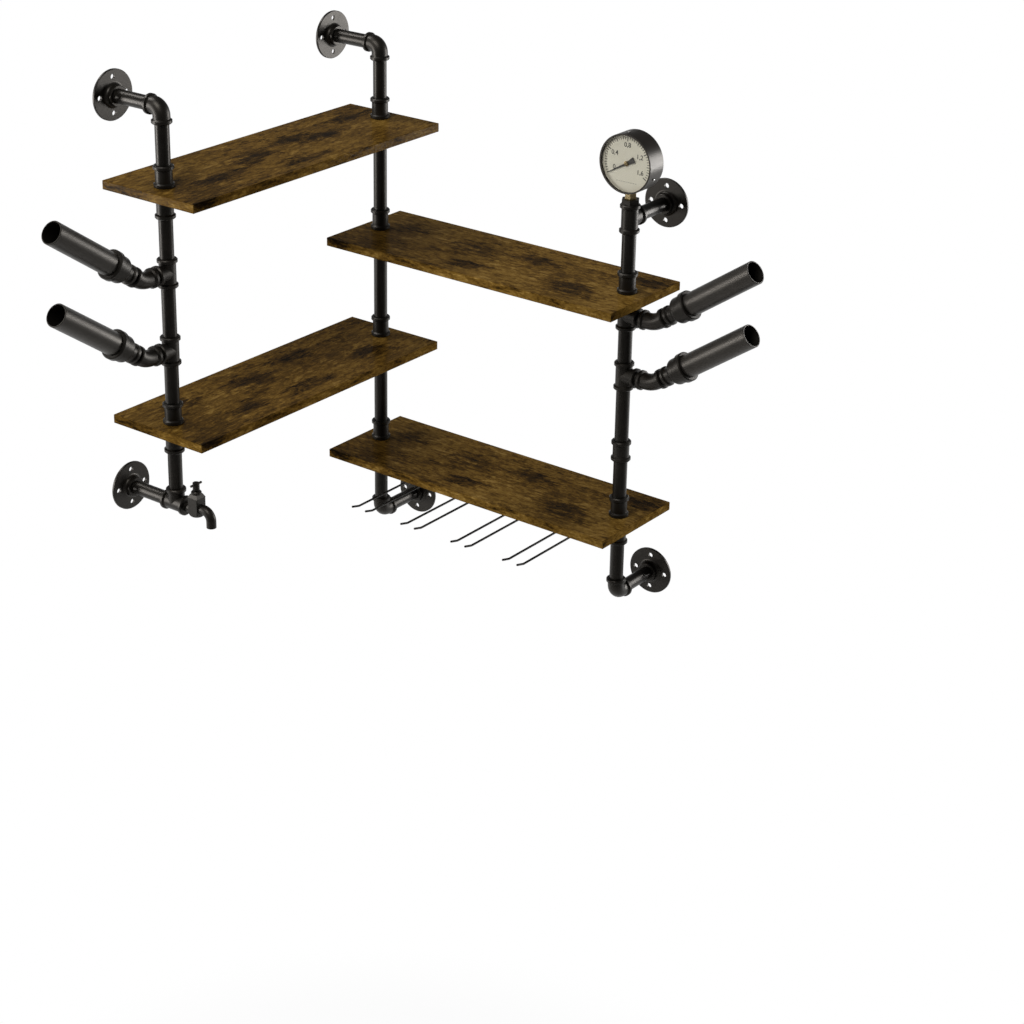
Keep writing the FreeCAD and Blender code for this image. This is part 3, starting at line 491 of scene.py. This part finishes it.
def cleanNormals(piece):
    settle(piece)
    bpy.ops.object.mode_set(mode="EDIT")
    bpy.ops.mesh.select_all(action="SELECT")
    bpy.ops.mesh.remove_doubles(threshold=0.000002)
    bpy.ops.mesh.normals_make_consistent(inside=False)
    bpy.ops.object.mode_set(mode="OBJECT")


def smooth(piece, angle):
    pickOnly(piece)
    bpy.ops.object.shade_smooth_by_angle(angle=math.radians(angle))


def dress(piece, finish):
    piece.data.materials.clear()
    piece.data.materials.append(finish)
    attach(piece, "rack")


def copyTo(model, label, place):
    copied = model.copy()
    copied.data = model.data.copy()
    copied.data.transform(place)
    copied.name = label
    bpy.context.scene.collection.objects.link(copied)
    return copied


def join(pieces, label):
    deselect()
    for piece in pieces:
        piece.select_set(True)
    bpy.context.view_layer.objects.active = pieces[0]
    bpy.ops.object.join()
    pieces[0].name = label
    return pieces[0]


# Printed scale of the dial: strokes and figures stand a hair proud of the enamel.
# A stroke is its width, its length and every how many intervals it comes; a figure is its angle and radius.

scale = {
    "outer": 0.0432, "thick": 0.00012, "start": -120.0, "sweep": 240.0, "intervals": 40,
    "strokes": {"fine": (0.00100, 0.0045, 1), "middle": (0.00115, 0.0056, 5), "main": (0.00155, 0.0072, 10)},
    "easeWide": 0.14, "easeHigh": 0.35,
    "figures": {"0": (-112.0, 0.0262), "0,4": (-60.0, 0.0276), "0,8": (0.0, 0.0300), "1,2": (60.0, 0.0276),
                "1,6": (114.0, 0.0278)},
    "figureSize": 0.0108, "figureBold": 0.00016, "figureCurve": 4,
    "dashes": 9, "dashLong": 0.0022, "dashHigh": 0.00070, "dashDrop": 0.0310, "dashHalf": 0.0180,
}
dialFace = Vector((gauge["centre"].x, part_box("gauge_dial")[0].y, gauge["centre"].z))


def strokeBar(wide, long, middle):
    # a flat bar on the dial's plane with its outer edges eased
    deselect()
    bpy.ops.mesh.primitive_cube_add(size=1.0, location=middle, scale=(wide, scale["thick"], long))
    bar = bpy.context.object
    settle(bar)
    pickFaces(bar, (0.0, -1.0, 0.0))
    bpy.ops.mesh.inset(thickness=wide * scale["easeWide"], depth=0.0)
    bpy.ops.transform.translate(value=(0.0, -scale["thick"] * scale["easeHigh"], 0.0))
    objectMode()
    return bar


def scaleStrokes():
    bars = []
    for wide, long, every in scale["strokes"].values():
        model = strokeBar(wide, long, (0.0, -scale["thick"] / 2, scale["outer"] - long / 2))
        coarser = [other for _, _, other in scale["strokes"].values() if other > every]
        for step in range(0, scale["intervals"] + 1, every):
            if any(step % other == 0 for other in coarser):
                continue
            turn = math.radians(scale["start"] + scale["sweep"] * step / scale["intervals"])
            place = Matrix.Translation(dialFace) @ Matrix.Rotation(turn, 4, "Y")
            bars.append(copyTo(model, f"stroke_{every}_{step}", place))
        bpy.data.objects.remove(model)
    for index in range(scale["dashes"]):
        aside = scale["dashHalf"] * (2 * index / (scale["dashes"] - 1) - 1)
        middle = dialFace + Vector((aside, -scale["thick"] / 2, -scale["dashDrop"]))
        bars.append(strokeBar(scale["dashLong"], scale["dashHigh"], middle))
    return join(bars, "dial_strokes")


def scaleFigures():
    figures = []
    for words, (turn, radius) in scale["figures"].items():
        deselect()
        bpy.ops.object.text_add()
        text = bpy.context.object
        text.data.body = words
        text.data.size = scale["figureSize"]
        text.data.align_x = "CENTER"
        text.data.align_y = "CENTER"
        text.data.extrude = scale["thick"] / 2
        text.data.offset = scale["figureBold"]
        text.data.resolution_u = scale["figureCurve"]
        bpy.ops.object.convert(target="MESH")
        angle = math.radians(turn)
        text.rotation_euler = (math.radians(90), 0.0, 0.0)
        text.location = dialFace + Vector((
            radius * math.sin(angle), -scale["thick"] / 2, radius * math.cos(angle)))
        cleanNormals(text)
        figures.append(text)
    return join(figures, "dial_figures")


for printed in (scaleStrokes(), scaleFigures()):
    dress(printed, dialInk)
print("dial printed")


# Pan-head screw with a cross recess, modelled once head up at the origin

screw = {
    "radius": 0.0021, "high": 0.0016, "sides": 36,
    "crown": 0.0006, "crownSteps": ((0.16, 0.50), (0.20, 0.32), (0.24, 0.18)),  # shares of radius and crown
    "slot": 0.0006, "slotReach": 1.15, "deep": 0.0010,
    "edge": 0.00008, "edgeAngle": 40, "smooth": 35,
}
caseScrews = {"turns": (-5.0, 115.0, 235.0), "level": -0.1130, "radius": 0.04925, "sunk": 0.0002}
leafScrews = {"size": 1.5, "aside": 0.0120, "back": -0.0290, "level": 0.1275, "twist": 0.4, "sideTwist": 40.0}
hangerMiddles = (0.09655, 0.20685, 0.31715, 0.42745)


def screwHead():
    deselect()
    bpy.ops.mesh.primitive_cylinder_add(
        vertices=screw["sides"], radius=screw["radius"], depth=screw["high"],
        location=(0.0, 0.0, screw["high"] / 2))
    head = bpy.context.object
    settle(head)
    pickFaces(head, (0.0, 0.0, 1.0))
    for share, rise in screw["crownSteps"]:
        bpy.ops.mesh.inset(thickness=screw["radius"] * share, depth=0.0)
        bpy.ops.transform.translate(value=(0.0, 0.0, screw["crown"] * rise))
    objectMode()
    for turn in (0.0, 90.0):
        deselect()
        bpy.ops.mesh.primitive_cube_add(
            size=1.0, location=(0.0, 0.0, screw["high"] + screw["crown"]),
            rotation=(0.0, 0.0, math.radians(turn)),
            scale=(screw["radius"] * screw["slotReach"], screw["slot"], screw["deep"] * 2))
        cutter = bpy.context.object
        settle(cutter)
        pickOnly(head)
        cut = head.modifiers.new("recess", "BOOLEAN")
        cut.operation = "DIFFERENCE"
        cut.object = cutter
        bpy.ops.object.modifier_apply(modifier=cut.name)
        bpy.data.objects.remove(cutter)
    ease = head.modifiers.new("edge", "BEVEL")
    ease.width = screw["edge"]
    ease.segments = 2
    ease.limit_method = "ANGLE"
    ease.angle_limit = math.radians(screw["edgeAngle"])
    bpy.ops.object.modifier_apply(modifier=ease.name)
    cleanNormals(head)
    smooth(head, screw["smooth"])
    return head


screwModel = screwHead()
for number, turn in enumerate(caseScrews["turns"], 1):
    place = (Matrix.Translation((gauge["centre"].x, caseScrews["level"], gauge["centre"].z))
             @ Matrix.Rotation(math.radians(turn), 4, "Y")
             @ Matrix.Translation((0.0, 0.0, caseScrews["radius"] - caseScrews["sunk"])))
    dress(copyTo(screwModel, f"case_screw_{number}", place), steel)
for number, middle in enumerate(hangerMiddles, 1):
    for side, aside in (("a", -leafScrews["aside"]), ("b", leafScrews["aside"])):
        twist = leafScrews["twist"] * number + leafScrews["sideTwist"] * aside  # no two recesses stand alike
        place = (Matrix.Translation((middle + aside, leafScrews["back"], leafScrews["level"]))
                 @ Matrix.Rotation(math.pi, 4, "X") @ Matrix.Rotation(twist, 4, "Z")
                 @ Matrix.Scale(leafScrews["size"], 4))
        dress(copyTo(screwModel, f"leaf_screw_{number}{side}", place), steel)
bpy.data.objects.remove(screwModel)
print("screws set")


# Rounded ends on the glass hangers' rods

rodEnd = {
    "radius": 0.0019, "round": 0.0017, "segments": 32, "rings": 16, "smooth": 40,
    "end": (-0.2833, 0.0920), "along": (-17.3, 4.5), "aside": 0.0151,
}


def rodCap():
    deselect()
    bpy.ops.mesh.primitive_uv_sphere_add(
        segments=rodEnd["segments"], ring_count=rodEnd["rings"], radius=rodEnd["radius"])
    cap = bpy.context.object
    settle(cap)
    bpy.ops.object.mode_set(mode="EDIT")
    bpy.ops.mesh.select_all(action="SELECT")
    bpy.ops.mesh.bisect(plane_co=(0.0, 0.0, 0.0), plane_no=(0.0, 0.0, 1.0), clear_inner=True, use_fill=True)
    bpy.ops.mesh.select_all(action="SELECT")
    bpy.ops.transform.resize(
        value=(1.0, 1.0, rodEnd["round"] / rodEnd["radius"]), center_override=(0.0, 0.0, 0.0))
    bpy.ops.object.mode_set(mode="OBJECT")
    cleanNormals(cap)
    smooth(cap, rodEnd["smooth"])
    return cap


capModel = rodCap()
tipWay = Vector((0.0, *rodEnd["along"])).normalized()
tipTurn = tipWay.to_track_quat("Z", "X").to_matrix().to_4x4()
for number, middle in enumerate(hangerMiddles, 1):
    for side, aside in (("a", -rodEnd["aside"]), ("b", rodEnd["aside"])):
        place = Matrix.Translation((middle + aside, *rodEnd["end"])) @ tipTurn
        dress(copyTo(capModel, f"rod_end_{number}{side}", place), paintOf["rod"])
bpy.data.objects.remove(capModel)
print("rod ends rounded")


# Pale floor far below, soft lamps, white surround

studio = {
    "floor": -1.35, "floorHalf": 40.0, "floorMiddle": (0.2, -0.4),
    "floorFar": (0.60, 0.60, 0.60), "floorNear": (0.86, 0.86, 0.86),
    "under": (0.25, -0.45), "nearFrom": (1.00, 0.40), "shadowShare": 0.25,
    "behind": (-0.623, 0.782, 0.0), "floorBehind": (-0.2, 0.6),
    "skyLight": 0.14, "skyBehind": (-0.1, 0.5), "skyRise": (0.22, 0.04),
    "aim": (0.2, -0.4, 0.42),
    "lamps": {
        "overhead": {"at": (-2.70, -1.05, 4.45), "size": (1.1, 1.1), "power": 96.0},
        "front": {"at": (0.39, -2.76, 3.38), "size": (1.8, 1.4), "power": 98.0},
        "left": {"at": (-2.32, -2.68, 0.45), "size": (0.50, 1.7), "power": 88.0},
        "right": {"at": (2.07, 2.42, 0.50), "size": (0.60, 1.6), "power": 80.0},
    },
}


def seenRay(wire, backness):
    # 1 where a ray shows white: straight from the camera, and by gloss or through glass behind the rack.
    # In front of it gloss shows the dim studio, so the black paint stays dark between its highlights.
    camera, gloss, through = wire.add(
        "LightPath", output=("Is Camera Ray", "Is Glossy Ray", "Is Transmission Ray"))
    return larger(camera, larger(gloss, through) * backness)


def makeFloor():
    deselect()
    bpy.ops.mesh.primitive_grid_add(
        x_subdivisions=6, y_subdivisions=6, size=2 * studio["floorHalf"],
        location=(*studio["floorMiddle"], studio["floor"]))
    floor = bpy.context.object
    floor.name = "floor"
    settle(floor)
    finish, wire = newFinish("pale floor")
    place = wire.add("TexCoord", output="Object")
    away = vectorMaths("SUBTRACT", place, (*studio["under"], studio["floor"]))
    near = fade(lengthOf(away), *studio["nearFrom"])
    lit = wire.add("BsdfPrincipled", None, {
        "Base Color": blend(near, studio["floorFar"], studio["floorNear"]), "Roughness": 1.0,
        "Specular IOR Level": 0.0})
    white = wire.add("Emission", None, {"Color": (1.0, 1.0, 1.0, 1.0), "Strength": 1.0})
    backward = vectorMaths("DOT_PRODUCT", away, studio["behind"], "Value")
    seen = seenRay(wire, fade(backward, *studio["floorBehind"])) * (1.0 - studio["shadowShare"] * near)
    both = wire.add("MixShader", None, {0: seen, 1: lit, 2: white})
    wire.add("OutputMaterial", None, {"Surface": both})
    finish.cycles.emission_sampling = "NONE"  # it shows white, but the lamps do the lighting
    floor.data.materials.append(finish)


def makeSurround():
    world = bpy.data.worlds.new("white surround")
    world.use_nodes = True
    world.node_tree.nodes.clear()
    wire = Wire(world.node_tree)
    way = wire.add("TexCoord", output="Generated")
    backward = vectorMaths("DOT_PRODUCT", way, studio["behind"], "Value")
    rise = vectorMaths("DOT_PRODUCT", way, (0.0, 0.0, 1.0), "Value")
    sweep = fade(backward, *studio["skyBehind"]) * fade(rise, *studio["skyRise"])  # ends above the horizon
    strength = studio["skyLight"] + (1.0 - studio["skyLight"]) * seenRay(wire, sweep)
    sky = wire.add("Background", None, {"Color": (1.0, 1.0, 1.0, 1.0), "Strength": strength})
    wire.add("OutputWorld", None, {"Surface": sky})
    bpy.context.scene.world = world


def makeLamps():
    for name, lamp in studio["lamps"].items():
        deselect()
        bpy.ops.object.light_add(type="AREA", location=lamp["at"])
        light = bpy.context.object
        light.name = name + "_lamp"
        light.data.shape = "RECTANGLE"
        light.data.size, light.data.size_y = lamp["size"]
        light.data.energy = lamp["power"]
        way = Vector(studio["aim"]) - Vector(lamp["at"])
        light.rotation_euler = way.to_track_quat("-Z", "Y").to_euler()


# Camera at the photograph's angle

view = {
    "at": (2.522059, -3.104943, 1.830478), "azimuth": 38.52788, "height": 21.88968, "roll": 0.38299,
    "lens": 82.282, "sensor": 36.0, "shift": (0.0703125, -0.12890625), "clipEnd": 60.0,
}


def makeCamera():
    deselect()
    bpy.ops.object.camera_add()
    camera = bpy.context.object
    azimuth, height, roll = (math.radians(view[name]) for name in ("azimuth", "height", "roll"))
    back = Vector((
        math.sin(azimuth) * math.cos(height), -math.cos(azimuth) * math.cos(height), math.sin(height)))
    level = Vector((math.cos(azimuth), math.sin(azimuth), 0.0))
    upright = back.cross(level)
    right = math.cos(roll) * level + math.sin(roll) * upright
    up = math.cos(roll) * upright - math.sin(roll) * level
    turn = Matrix((right, up, back)).transposed().to_4x4()
    camera.matrix_world = Matrix.Translation(view["at"]) @ turn
    camera.data.sensor_width = view["sensor"]
    camera.data.lens = view["lens"]
    camera.data.shift_x, camera.data.shift_y = view["shift"]
    camera.data.clip_end = view["clipEnd"]
    bpy.context.scene.camera = camera


makeFloor()
makeSurround()
makeLamps()
makeCamera()
bpy.context.scene.view_settings.view_transform = "Standard"
print("studio ready")
